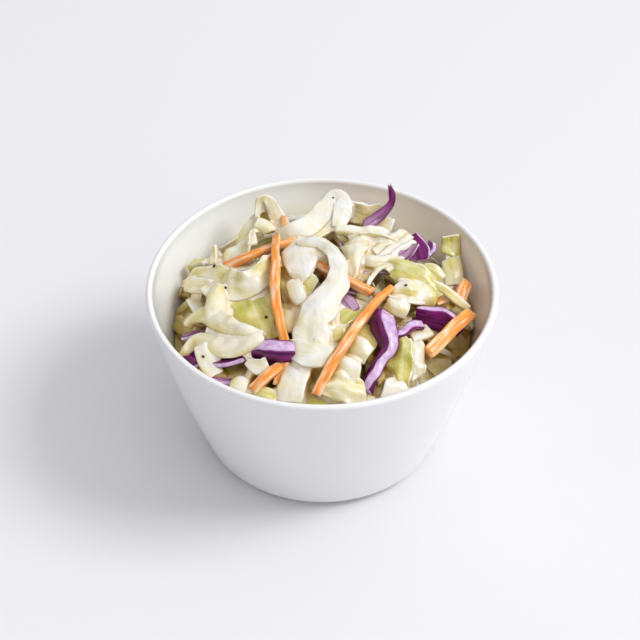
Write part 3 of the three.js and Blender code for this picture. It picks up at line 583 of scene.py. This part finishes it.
def shred(bm, layers, shape, seed, fineness, squareness, ragged):
    """Cuts one flat strip and bends it along its route, so that it lies in the heap.

    Its vertices run from 0 to 1 along it (t) and from -1 to 1 across it (u) and through it (v).
    """
    route = Route(shape, seed)
    widths, thicks = shape["width"], shape["thick"]
    if not isinstance(thicks, tuple):
        thicks = (thicks,)
    widest, thickest = max(widths), max(thicks)
    made = bmesh.ops.create_grid(bm, x_segments=max(3, round(route.length / fineness)),
                                 y_segments=max(2, round(widest / fineness)), size=1)
    faces = list(dict.fromkeys(face for vert in made["verts"] for face in vert.link_faces))
    grown = bmesh.ops.extrude_face_region(bm, geom=faces)
    upper = [item for item in grown["geom"] if isinstance(item, bmesh.types.BMVert)]
    lower = made["verts"]
    bmesh.ops.translate(bm, vec=(0, 0, 1), verts=upper)
    bmesh.ops.translate(bm, vec=(0, 0, -1), verts=lower)
    chance = random.Random(seed)
    ragged = shape.get("ragged", ragged)
    slants = [chance.uniform(-SLANT, SLANT) * widest * shape.get("slant", 1) for _ in range(2)]
    phases = [chance.uniform(0, 2 * math.pi) for _ in range(2)]
    wave_length = chance.uniform(*RIPPLE_LENGTH)
    cup, ripple, crumple = shape.get("cup", 0), shape.get("ripple", 0), shape.get("crumple", CRUMPLE)
    fold, fold_place = shape.get("fold", 0), shape.get("fold_place", 0)
    tint = shape.get("tint", (0, 0))
    tone = shape.get("tone", chance.uniform(-1, 1))
    for vert in upper + lower:
        t, u, v = (vert.co.x + 1) / 2, vert.co.y, vert.co.z
        rim = 1.0 if max(abs(vert.co.x), abs(u)) > 0.999 else 0.0
        # along: the ends are cut askew and unevenly
        end = ragged * 0.3 * widest * wobble(u * 1.6, seed * 2.3, round(t))
        distance = lerp(slants[0] * u / 2 + end, route.length + slants[1] * u / 2 + end, t)
        centre, side, face = route.at(distance)
        # across: uneven sides, and the cup as an arc
        flank = 1 if u > 0 else -1
        uneven = wobble(distance / 6, seed * 3.7, flank)
        uneven += 0.8 * wobble(distance / 2.2, seed * 5.1, flank)
        width = along(widths, t) * (1 + ragged * abs(u) * uneven)
        bend = 8 * cup / widest
        across = width / 2 * u
        rise = 0.0
        if abs(bend) > 1e-3:
            radius = width / bend
            across = radius * math.sin(bend * u / 2)
            rise = radius * (1 - math.cos(bend * u / 2)) - cup / 3
        # up and down: rippled sides, broad and small dents, creases, and the fold
        phase = phases[0] if u > 0 else phases[1]
        rise += ripple * abs(u) ** 1.5 * math.sin(2 * math.pi * distance / wave_length + phase)
        rise += crumple * wobble(distance / 3.6, across / 2.6, seed * 1.9)
        rise += 0.4 * crumple * wobble(distance / 1.7, across / 1.5, seed * 1.4)
        rise -= 1.3 * crumple * abs(wobble(distance / 6.5, across / 3.2, seed * 2.9))
        rise -= fold * (abs(u - fold_place) - 0.5)
        tilt = bend * u / 2
        thick = along(thicks, t) * (1 + 0.15 * wobble(distance / 4, u * 2, seed * 1.3))
        half = v * thick / 2 * (1 - (1 - squareness) * 0.25 * u * u)
        point = centre + side * (across - half * math.sin(tilt)) + face * (rise + half * math.cos(tilt))
        point += WARP * noise.noise_vector(point / WARP_SIZE)
        vert.co = keep_inside(point)
        vert[layers["tint"]] = lerp(tint[0], tint[1], t)
        vert[layers["tone"]] = tone
        vert[layers["edge"]] = rim
        vert[layers["through"]] = v
        vert[layers["depth"]] = heap_height(point.x, point.y) - point.z
        vert[layers["grain"]] = Vector((distance, across, v * thickest / 2)) * MM
    crease = bm.edges.layers.float["crease_edge"]
    for edge in {edge for vert in upper + lower for edge in vert.link_edges}:
        if all(vert[layers["edge"]] for vert in edge.verts) and edge.calc_face_angle(0) > CREASE_ANGLE:
            edge[crease] = squareness


def corner_key(part, count):
    """A number for an edge or face, from its lowest and its highest vertex."""
    corners = [vert.index for vert in part.verts]
    return min(corners) * count + max(corners)


def shreds_of(kind, shapes, material, fineness, squareness, ragged=0.12):
    """All the shreds of one kind, as one piece.

    fineness: size of their mesh faces. squareness: sharpness of the cut edges. ragged: their unevenness.
    """
    bm = bmesh.new()
    bm.edges.layers.float.new("crease_edge")
    layers = {name: bm.verts.layers.float.new(name) for name in ("tint", "tone", "edge", "through", "depth")}
    layers["grain"] = bm.verts.layers.float_vector.new("grain")
    for i, shape in enumerate(shapes):
        shred(bm, layers, shape, shape["seed"] + i, shape.get("fineness", fineness), squareness, ragged)
    bm.verts.index_update()
    for parts in (bm.edges, bm.faces):  # an extrusion leaves these in an order that changes from run to run
        parts.sort(key=lambda part: corner_key(part, len(bm.verts)))
    return finished(kind, bm, material, "slaw", smooth_levels=1)


def fill_shapes():
    """Loose shreds in layers under the heap's surface, spread evenly by a sunflower spiral."""
    chance = random.Random(FILL_SEED)
    shapes = {kind: [] for kind, *_ in FILL_KINDS}
    weights = [share for _, share, *_ in FILL_KINDS]
    for count, lifts, droop in LAYERS:
        for i in range(count):
            kind, _, lengths, widths, thicks = chance.choices(FILL_KINDS, weights)[0]
            radius = FILL_RADIUS * math.sqrt((i + 0.5) / count)
            angle = i * GOLDEN_ANGLE
            x, y = radius * math.cos(angle), radius * math.sin(angle)
            if kind in ("carrot", "red") and radius > CLEAR_RADIUS:
                kind = "white"
            turn = chance.uniform(0, math.pi)
            half = chance.uniform(*lengths) / 2
            curve = chance.uniform(-0.25, 0.25) * half
            lift = chance.uniform(*lifts)
            route = []
            for s in (-1, -0.35, 0.35, 1):
                bow = curve * (1 - s * s)
                px = x + s * half * math.cos(turn) - bow * math.sin(turn)
                py = y + s * half * math.sin(turn) + bow * math.cos(turn)
                most = FILL_RADIUS / max(math.hypot(px, py), FILL_RADIUS)
                px, py = px * most, py * most
                height = lift - droop * s * s + chance.uniform(-0.3, 0.3) - hollow_depth(px, py)
                route.append((px, py, height))
            width = chance.uniform(*widths)
            greenness = chance.uniform(0.35, 0.9) if kind == "green" else chance.uniform(0, 0.25)
            shapes[kind].append(strip(
                width=(0.75 * width, width, 0.95 * width, 0.6 * width),
                thick=chance.uniform(*thicks),
                roll=chance.uniform(-35, 35),
                route=route,
                cup=chance.uniform(-0.12, 0.12) * width,
                ripple=0.04 * width if kind in ("white", "green") else 0,
                tint=(greenness, greenness * chance.uniform(0.6, 1)),
                twist=0.3,
                fineness=2.4,
                seed=1000.0 * (kind == "green") + i + chance.random(),
            ))
    return shapes


def core_body():
    """The bed of slaw under the shreds, in which single strips can't be told apart."""
    sunk = [(r, z) for r, z in inner_profile(WALL_GAP) if z < WALL_LEVEL - CORE_DEPTH - 1]
    edge = max(r for r, _ in sunk)
    top = [(edge * i / CORE_RINGS, HEIGHT) for i in range(CORE_RINGS, -1, -1)]
    bm = turned(sunk[::-1] + top, CORE_STEPS)
    for vert in bm.verts:
        if vert.co.z > HEIGHT - 1:
            x, y = vert.co.x, vert.co.y
            bumps = 1.6 * wobble(x / 4, y / 4, 3)
            bumps += 0.7 * wobble(x / 1.6, y / 1.6, 8)
            vert.co.z = heap_height(x, y) - CORE_DEPTH + bumps - 0.5 * hollow_depth(x, y)
    bmesh.ops.recalc_face_normals(bm, faces=bm.faces)
    return bm


def soften(bm):
    bmesh.ops.smooth_vert(bm, verts=bm.verts, factor=0.5, use_axis_x=True, use_axis_y=True, use_axis_z=True)


def evaluated_mesh(piece):
    """A piece's mesh with its modifiers applied."""
    return bpy.data.meshes.new_from_object(piece.evaluated_get(bpy.context.evaluated_depsgraph_get()))


def make_dressed_bed(shreds, material):
    """The bed of slaw with the dressing that clings to the shreds and fills the narrow gaps between them."""
    bm = core_body()
    for piece in shreds:
        mesh = evaluated_mesh(piece)
        grown = bmesh.new()
        grown.from_mesh(mesh)
        bmesh.ops.scale(grown, vec=(1 / MM, 1 / MM, 1 / MM), verts=grown.verts)
        grown.normal_update()
        for vert in grown.verts:
            vert.co += vert.normal * CLING
        grown.to_mesh(mesh)
        grown.free()
        bm.from_mesh(mesh)
        bpy.data.meshes.remove(mesh)
    scratch = mesh_object("scratch", bm)
    fused = scratch.modifiers.new("fused", "REMESH")
    fused.mode = "VOXEL"
    fused.voxel_size = DRESSING_VOXEL
    bm = bmesh.new()
    mesh = evaluated_mesh(scratch)
    bm.from_mesh(mesh)
    bpy.data.meshes.remove(mesh)
    bpy.data.objects.remove(scratch)
    soften(bm)
    bm.normal_update()
    for vert in bm.verts:
        vert.co -= vert.normal * (CLING + FILM_GAP)
    soften(bm)
    soften(bm)
    depth = bm.verts.layers.float.new("depth")
    for vert in bm.verts:
        vert.co = keep_inside(vert.co)
        vert[depth] = heap_height(vert.co.x, vert.co.y) - vert.co.z
    return finished("slaw_bed_and_dressing", bm, material, "slaw")


def make_pepper(surfaces, material):
    """Coarse-ground pepper, each grain half sunk in whatever lies on top at its place."""
    graph = bpy.context.evaluated_depsgraph_get()
    trees = [BVHTree.FromObject(piece, graph) for piece in surfaces]
    chance = random.Random(PEPPER_SEED)
    places = list(PEPPER)
    for i in range(PEPPER_SPREAD):
        radius = PEPPER_RADIUS * math.sqrt((i + 0.5) / PEPPER_SPREAD)
        angle = i * GOLDEN_ANGLE + PEPPER_TURN
        if radius * math.sin(angle) > PEPPER_BACK:
            places.append((radius * math.cos(angle), radius * math.sin(angle)))
    bm = bmesh.new()
    for x, y in places:
        above = Vector((x, y, 2 * HEIGHT)) * MM
        hits = [hit for hit, *_ in (tree.ray_cast(above, -UP) for tree in trees) if hit]
        size = chance.uniform(*PEPPER_SIZE)
        grain = bmesh.ops.create_icosphere(bm, subdivisions=2, radius=size)["verts"]
        seed = chance.uniform(0, 99)
        for vert in grain:
            vert.co *= 1 + 0.5 * noise.noise(vert.co * 1.7 / size + Vector((seed, 0, 0)))
            vert.co.z *= 0.7
        bmesh.ops.rotate(bm, verts=grain, matrix=Matrix.Rotation(chance.uniform(0, math.pi), 3, "Z"))
        bmesh.ops.translate(bm, verts=grain, vec=max(hits, key=lambda hit: hit.z) / MM)
    return finished("pepper_flecks", bm, material, "slaw")


# ---- materials ----

def add(material, kind, inputs=(), **settings):
    """Adds one node with its settings and inputs, which are given by name, by number or in their order.

    A node as an input stands for the first output that it has in use.
    """
    node = material.node_tree.nodes.new("ShaderNode" + kind)
    for name, value in settings.items():
        setattr(node, name, value)
    for name, value in inputs.items() if isinstance(inputs, dict) else enumerate(inputs):
        if isinstance(value, bpy.types.Node):
            value = next(socket for socket in value.outputs if socket.enabled)
        if isinstance(value, bpy.types.NodeSocket):
            material.node_tree.links.new(value, node.inputs[name])
        else:
            node.inputs[name].default_value = value
    return node


def new_material(name):
    material = bpy.data.materials.new(name)
    material.use_nodes = True
    material.node_tree.nodes.clear()
    return material


def per_mm(size):
    """The scale that gives a pattern on Object coordinates a feature size in millimetres."""
    return 1 / (size * MM)


def glazed_porcelain():
    """Slip-cast porcelain under a clear glaze: neutral white, with a sharp soft-edged shine."""
    m = new_material("glazed_porcelain")
    place = add(m, "TexCoord").outputs["Object"]
    drift = add(m, "TexNoise", {"Vector": place, "Scale": per_mm(40), "Detail": 2.0})
    colour = add(m, "Mix", {0: drift, 6: linear("#EEEEEF"), 7: linear("#F2F2F3")}, data_type="RGBA")
    # the inside, painted lighter and cooler than the outside (painted light), and on its right side a painted
    # warm shade
    normal = add(m, "NewGeometry").outputs["Normal"]
    outward = add(m, "VectorMath", (place, normal), operation="DOT_PRODUCT")
    inside = add(m, "MapRange", (outward, -15 * MM, -25 * MM))
    # painted warm shade: a warm tint towards the right of the inside, where its wall lies in shade
    rightward = add(m, "VectorMath", (place, (0.98, 0.12, 0)), operation="DOT_PRODUCT")
    rightward_warm_shade = add(m, "MapRange", (rightward, 5 * MM, 45 * MM, 0.0, 0.9))
    painted_warm_shade = add(m, "Math", (inside, rightward_warm_shade), operation="MULTIPLY")
    glaze_painted_light_inside = add(m, "Mix", {0: inside, 6: colour, 7: linear("#F8FBFF")}, data_type="RGBA")
    colour = add(m, "Mix", {0: painted_warm_shade, 6: glaze_painted_light_inside, 7: linear("#FEF4EA")}, data_type="RGBA")
    waves = add(m, "TexNoise", {"Vector": place, "Scale": per_mm(14), "Detail": 1.0})
    bump = add(m, "Bump", {"Height": waves, "Strength": 0.05, "Distance": 0.4 * MM})
    shader = add(m, "BsdfPrincipled", {
        "Base Color": colour, "Roughness": 0.28, "Coat Weight": 0.6, "Coat Roughness": 0.08, "Normal": bump})
    add(m, "OutputMaterial", [shader])
    return m


def cut_cabbage(name):
    """Raw cabbage, cut and wetted with dressing: milky, letting light through, greener towards the leaf."""
    m = new_material(name)
    place = add(m, "TexCoord").outputs["Object"]
    grain = add(m, "Attribute", attribute_name="grain").outputs["Vector"]
    tint, tone, edge, depth = (
        add(m, "Attribute", attribute_name=name).outputs["Fac"] for name in ("tint", "tone", "edge", "depth"))
    # the leaf: cream to green, with paler veins
    blotches = add(m, "TexNoise", {"Vector": place, "Scale": per_mm(7), "Detail": 3.0})
    patch = add(m, "MapRange", (blotches, 0.35, 0.65, -0.2, 0.2))
    greenness = add(m, "Math", (tint, patch), operation="ADD", use_clamp=True)
    ramp = add(m, "ValToRGB", [greenness])
    stops = ramp.color_ramp.elements
    stops[0].color = linear("#EADDA6")
    stops[1].color = linear("#B2B236")
    stops.new(0.5).color = linear("#DACE70")
    veins = add(m, "Mapping", {"Vector": grain, "Scale": (per_mm(20), per_mm(1.5), per_mm(3))})
    streaks = add(m, "TexNoise", {"Vector": veins, "Scale": 1.0, "Detail": 2.0})
    streaked = add(m, "MapRange", (streaks, 0.45, 0.75, 0.0, 0.35))
    ribbed = add(m, "Mix", {0: streaked, 6: ramp, 7: linear("#F4EFDC")}, data_type="RGBA")
    # the dressing on it, in pools; and painted light: whiter where it faces up and towards the lamp, and at
    # the cut rim
    normal = add(m, "NewGeometry").outputs["Normal"]
    up_and_lampward = add(m, "VectorMath", (normal, (0.25, -0.15, 0.95)), operation="DOT_PRODUCT")
    settled_and_lit = add(m, "MapRange", (up_and_lampward, 0.3, 0.95, -0.1, 0.7))
    thinned = add(m, "Math", (greenness, -0.7, settled_and_lit), operation="MULTIPLY_ADD")
    # the cut rim whiter: partly dressing, partly a painted highlight
    rim_film_and_highlight = add(m, "MapRange", (edge, 0.5, 1.0, 0.0, 0.85))
    pools = add(m, "TexNoise", {"Vector": place, "Scale": per_mm(6), "Detail": 1.0})
    pooled = add(m, "MapRange", (pools, 0.35, 0.65, -0.2, 0.2))
    toned = add(m, "Math", (tone, 0.25, thinned), operation="MULTIPLY_ADD")
    wetted = add(m, "Math", (toned, pooled), operation="ADD")
    film = add(m, "Math", (wetted, rim_film_and_highlight), operation="ADD", use_clamp=True)
    # painted shade: faces turned away from up and the lamp lose the film and keep the bare leaf colour
    lit_facing = add(m, "MapRange", (up_and_lampward, -0.2, 0.5, 0.1, 1.0))
    film_and_painted_light = add(m, "Math", (film, lit_facing), operation="MULTIPLY")
    filmed = add(m, "Mix", {0: film_and_painted_light, 6: ribbed, 7: linear("#EAEAE7")}, data_type="RGBA")
    # painted shade: golden in the crevices, olive deep in the heap
    open_air = add(m, "AmbientOcclusion", {"Distance": 5 * MM}, samples=6).outputs["AO"]
    painted_crevice_shade = add(m, "MapRange", (open_air, 0.92, 0.3, 0.0, 0.9))
    shaded = add(m, "Mix", {0: painted_crevice_shade, 6: filmed, 7: linear("#CBAC52")}, data_type="RGBA")
    sunk = add(m, "MapRange", (depth, 0.5, 5.0, 0.0, 0.85))
    colour = add(m, "Mix", {0: sunk, 6: shaded, 7: linear("#A38A30")}, data_type="RGBA")
    fine = add(m, "TexNoise", {"Vector": place, "Scale": per_mm(1.4), "Detail": 2.0})
    coarse = add(m, "Math", (streaks, 0.5, blotches), operation="MULTIPLY_ADD")
    height = add(m, "Math", (fine, 0.45, coarse), operation="MULTIPLY_ADD")
    bump = add(m, "Bump", {"Height": height, "Strength": 0.7, "Distance": 0.6 * MM})
    shader = add(m, "BsdfPrincipled", {
        "Base Color": colour, "Roughness": 0.33, "Specular IOR Level": 0.3,
        "Subsurface Weight": 0.5, "Subsurface Radius": (1.0, 0.9, 0.5), "Subsurface Scale": 1.3 * MM,
        "Coat Weight": 0.6, "Coat Roughness": 0.1, "Normal": bump}, subsurface_method="BURLEY")
    add(m, "OutputMaterial", [shader])
    return m


def red_cabbage():
    """Raw red cabbage, cut: a dark purple skin on both faces and pale lilac flesh at the cut edges."""
    m = new_material("cut_red_cabbage")
    place = add(m, "TexCoord").outputs["Object"]
    grain = add(m, "Attribute", attribute_name="grain").outputs["Vector"]
    through, edge, tint = (
        add(m, "Attribute", attribute_name=name).outputs["Fac"] for name in ("through", "edge", "tint"))
    # the skin: dark, or paler with a dark outline
    veins = add(m, "Mapping", {"Vector": grain, "Scale": (per_mm(10), per_mm(0.9), per_mm(2))})
    streaks = add(m, "TexNoise", {"Vector": veins, "Scale": 1.0, "Detail": 2.0})
    skin_mix = add(m, "MapRange", (streaks, 0.35, 0.75))
    dark = add(m, "Mix", {0: skin_mix, 6: linear("#480640"), 7: linear("#962486")}, data_type="RGBA")
    pale = add(m, "Mix", {0: skin_mix, 6: linear("#946488"), 7: linear("#CDAEC6")}, data_type="RGBA")
    outline = add(m, "MapRange", (edge, 0.45, 1.0, 0.0, 0.85))
    outlined = add(m, "Mix", {0: outline, 6: pale, 7: linear("#7A3470")}, data_type="RGBA")
    skin = add(m, "Mix", {0: tint, 6: dark, 7: outlined}, data_type="RGBA")
    # the flesh, in the middle of the thickness, with an uneven border
    blotches = add(m, "TexNoise", {"Vector": place, "Scale": per_mm(1.8), "Detail": 3.0})
    mottled = add(m, "MapRange", (blotches, 0.25, 0.75))
    flesh = add(m, "Mix", {0: mottled, 6: linear("#BC8AC6"), 7: linear("#E8D6EC")}, data_type="RGBA")
    from_middle = add(m, "Math", [through], operation="ABSOLUTE")
    border = add(m, "Math", (blotches, 0.4, from_middle), operation="MULTIPLY_ADD")
    cut = add(m, "MapRange", (border, 0.9, 1.12, 1.0, 0.0))
    colour = add(m, "Mix", {0: cut, 6: skin, 7: flesh}, data_type="RGBA")
    bump = add(m, "Bump", {"Height": streaks, "Strength": 0.4, "Distance": 0.3 * MM})
    shader = add(m, "BsdfPrincipled", {
        "Base Color": colour, "Roughness": 0.42, "Specular IOR Level": 0.25,
        "Subsurface Weight": 0.15, "Subsurface Radius": (1.0, 0.6, 1.0), "Subsurface Scale": MM,
        "Coat Weight": 0.3, "Coat Roughness": 0.12, "Normal": bump})
    add(m, "OutputMaterial", [shader])
    return m


def carrot():
    """Raw carrot cut into sticks: bright orange with fibres along it, and runs of pale dressing."""
    m = new_material("cut_carrot")
    grain = add(m, "Attribute", attribute_name="grain").outputs["Vector"]
    depth, edge = (add(m, "Attribute", attribute_name=name).outputs["Fac"] for name in ("depth", "edge"))
    fibres = add(m, "Mapping", {"Vector": grain, "Scale": (per_mm(12), per_mm(0.7), per_mm(0.9))})
    streaks = add(m, "TexNoise", {"Vector": fibres, "Scale": 1.0, "Detail": 3.0})
    deep = add(m, "MapRange", (streaks, 0.3, 0.7))
    flesh = add(m, "Mix", {0: deep, 6: linear("#F2840C"), 7: linear("#FFAE3C")}, data_type="RGBA")
    runs = add(m, "Mapping", {"Vector": grain, "Scale": (per_mm(8), per_mm(1.1), per_mm(1.6))})
    film = add(m, "TexNoise", {"Vector": runs, "Scale": 1.0, "Detail": 4.0})
    filmed = add(m, "MapRange", (film, 0.48, 0.66, 0.0, 0.7))
    # paler along the edge: partly dressing, partly a painted highlight
    edge_film_and_highlight = add(m, "Math", (edge, 0.12, filmed), operation="MULTIPLY_ADD", use_clamp=True)
    coated = add(m, "Mix", {0: edge_film_and_highlight, 6: flesh, 7: linear("#FFE8C6")}, data_type="RGBA")
    # painted shade: darker orange the deeper it lies in the heap
    sunk = add(m, "MapRange", (depth, 0.5, 6.0, 0.0, 0.7))
    colour = add(m, "Mix", {0: sunk, 6: coated, 7: linear("#B85C0A")}, data_type="RGBA")
    bump = add(m, "Bump", {"Height": streaks, "Strength": 0.5, "Distance": 0.35 * MM})
    shader = add(m, "BsdfPrincipled", {
        "Base Color": colour, "Roughness": 0.36,
        "Subsurface Weight": 0.3, "Subsurface Radius": (1.0, 0.4, 0.1), "Subsurface Scale": 1.5 * MM,
        "Coat Weight": 0.45, "Coat Roughness": 0.1, "Normal": bump})
    add(m, "OutputMaterial", [shader])
    return m


def creamy_dressing():
    """Dressing stirred through the slaw: thick and creamy on top, with painted shade: olive deep in the gaps,
    golden in crevices.
    """
    m = new_material("stirred_dressing")
    place = add(m, "TexCoord").outputs["Object"]
    depth = add(m, "Attribute", attribute_name="depth").outputs["Fac"]
    blotches = add(m, "TexNoise", {"Vector": place, "Scale": per_mm(5), "Detail": 4.0})
    spread = add(m, "MapRange", (blotches, 0.35, 0.65))
    cream = add(m, "Mix", {0: spread, 6: linear("#EFE4C0"), 7: linear("#FAF7EE")}, data_type="RGBA")
    # painted shade: olive for the deep gaps, golden for the crevices
    painted_deep_shade = add(m, "Mix", {0: spread, 6: linear("#86690C"), 7: linear("#B08E2C")}, data_type="RGBA")
    open_air = add(m, "AmbientOcclusion", {"Distance": 5 * MM}, samples=6).outputs["AO"]
    painted_crevice_shade = add(m, "MapRange", (open_air, 0.9, 0.35, 0.0, 1.0))
    shaded = add(m, "Mix", {0: painted_crevice_shade, 6: cream, 7: linear("#C49A3A")}, data_type="RGBA")
    sunk = add(m, "MapRange", (depth, -1.0, 3.2))
    colour = add(m, "Mix", {0: sunk, 6: shaded, 7: painted_deep_shade}, data_type="RGBA")
    bump = add(m, "Bump", {"Height": blotches, "Strength": 0.3, "Distance": 0.4 * MM})
    shader = add(m, "BsdfPrincipled", {
        "Base Color": colour, "Roughness": 0.3,
        "Subsurface Weight": 0.4, "Subsurface Radius": (1.0, 0.9, 0.5), "Subsurface Scale": 1.2 * MM,
        "Coat Weight": 0.4, "Coat Roughness": 0.12, "Normal": bump}, subsurface_method="BURLEY")
    add(m, "OutputMaterial", [shader])
    return m


def black_pepper():
    """Coarse-ground peppercorn: dark brown husk with paler flecks, dull and rough."""
    m = new_material("ground_pepper")
    place = add(m, "TexCoord").outputs["Object"]
    speckle = add(m, "TexNoise", {"Vector": place, "Scale": per_mm(0.5), "Detail": 2.0})
    colour = add(m, "Mix", {0: speckle, 6: linear("#2A1A10"), 7: linear("#6B4A30")}, data_type="RGBA")
    bump = add(m, "Bump", {"Height": speckle, "Strength": 0.6, "Distance": 0.1 * MM})
    shader = add(m, "BsdfPrincipled", {"Base Color": colour, "Roughness": 0.7, "Normal": bump})
    add(m, "OutputMaterial", [shader])
    return m


def matte_floor():
    """A painted studio sweep: pale, neutral and matte."""
    m = new_material("matte_paint")
    place = add(m, "TexCoord").outputs["Object"]
    drift = add(m, "TexNoise", {"Vector": place, "Scale": 3.0, "Detail": 1.0})
    colour = add(m, "Mix", {0: drift, 6: linear("#E4E4E7"), 7: linear("#E7E7EA")}, data_type="RGBA")
    shader = add(m, "BsdfPrincipled", {"Base Color": colour, "Roughness": 0.8, "Specular IOR Level": 0.2})
    add(m, "OutputMaterial", [shader])
    return m


# ---- the set ----

CAMERA_TARGET = Vector((-0.64, 0, 45.7))
CAMERA_DISTANCE = 550.0
CAMERA_DROP = math.radians(42)  # how steeply the camera looks down
CAMERA_LENS = 97.44
SENSOR = 36
FLOOR_SIZE = 3.0  # metres
LAMPS = (  # name, place and size in metres, watts
    ("window", (1.45, -0.14, 1.64), 0.8, 25),
    ("bounce", (0.9, -1.3, 0.9), 1.2, 2.8),
    ("fill", (-1.6, -0.25, 0.6), 0.8, 2.4),
)
LIT_POINT = Vector((0, 0, 0.03))
SKY_TILT = (0.25, 0.05, 0.97)  # the way to the brightest part of the sky
SKY_LOW, SKY_HIGH = 0.09, 1.03  # its strength at the horizon and there


def make_camera():
    data = bpy.data.cameras.new("camera")
    data.lens = CAMERA_LENS
    data.sensor_width = SENSOR
    camera = placed("camera", data)
    back = Vector((0, -math.cos(CAMERA_DROP), math.sin(CAMERA_DROP)))
    camera.location = (CAMERA_TARGET + back * CAMERA_DISTANCE) * MM
    camera.rotation_euler = Euler((math.pi / 2 - CAMERA_DROP, 0, 0))
    bpy.context.scene.camera = camera


def make_floor():
    bm = bmesh.new()
    bmesh.ops.create_grid(bm, x_segments=8, y_segments=8, size=FLOOR_SIZE / 2)
    floor = mesh_object("floor", bm)
    floor.data.materials.append(matte_floor())


def make_lights():
    """Soft boxes round the bowl, and a sky that is brighter overhead."""
    for name, place, size, watts in LAMPS:
        data = bpy.data.lights.new(name, "AREA")
        data.size = size
        data.energy = watts
        lamp = placed(name, data)
        lamp.location = place
        lamp.rotation_euler = (LIT_POINT - Vector(place)).to_track_quat("-Z", "Y").to_euler()
    world = bpy.data.worlds.new("room")
    world.use_nodes = True
    background = world.node_tree.nodes["Background"]
    background.inputs["Color"].default_value = linear("#FDFCFE")
    direction = add(world, "TexCoord").outputs["Generated"]
    height = add(world, "VectorMath", (direction, SKY_TILT), operation="DOT_PRODUCT")
    glow = add(world, "MapRange", (height, 0, 1, SKY_LOW, SKY_HIGH))
    world.node_tree.links.new(glow.outputs[0], background.inputs["Strength"])
    bpy.context.scene.world = world


# ---- the object ----

SEED_STEP = 0.37  # from one row to the next


def numbered(shapes, first):
    """The rows with a seed each, counted on from the first."""
    return [dict(shape, seed=first + SEED_STEP * i) for i, shape in enumerate(shapes)]


make_camera()
make_floor()
make_lights()

make_bowl(glazed_porcelain())
loose = fill_shapes()
white = shreds_of("white_cabbage", numbered(WHITE_CABBAGE, 10) + loose["white"],
                  cut_cabbage("cut_white_cabbage"), fineness=1.3, squareness=0.7)
green = shreds_of("green_cabbage", numbered(GREEN_CABBAGE, 110) + loose["green"],
                  cut_cabbage("cut_green_cabbage"), fineness=1.3, squareness=0.7)
shreds_of("red_cabbage", numbered(RED_CABBAGE, 210) + loose["red"], red_cabbage(),
          fineness=1.3, squareness=0.5, ragged=0.08)
shreds_of("carrot_sticks", numbered(CARROT, 310) + loose["carrot"], carrot(),
          fineness=1.2, squareness=0.5, ragged=0.07)
bed = make_dressed_bed((white, green), creamy_dressing())
make_pepper((white, green, bed), black_pepper())

scene = bpy.context.scene
scene.view_settings.view_transform = "Standard"
scene.view_settings.look = "None"
scene.cycles.use_denoising = True
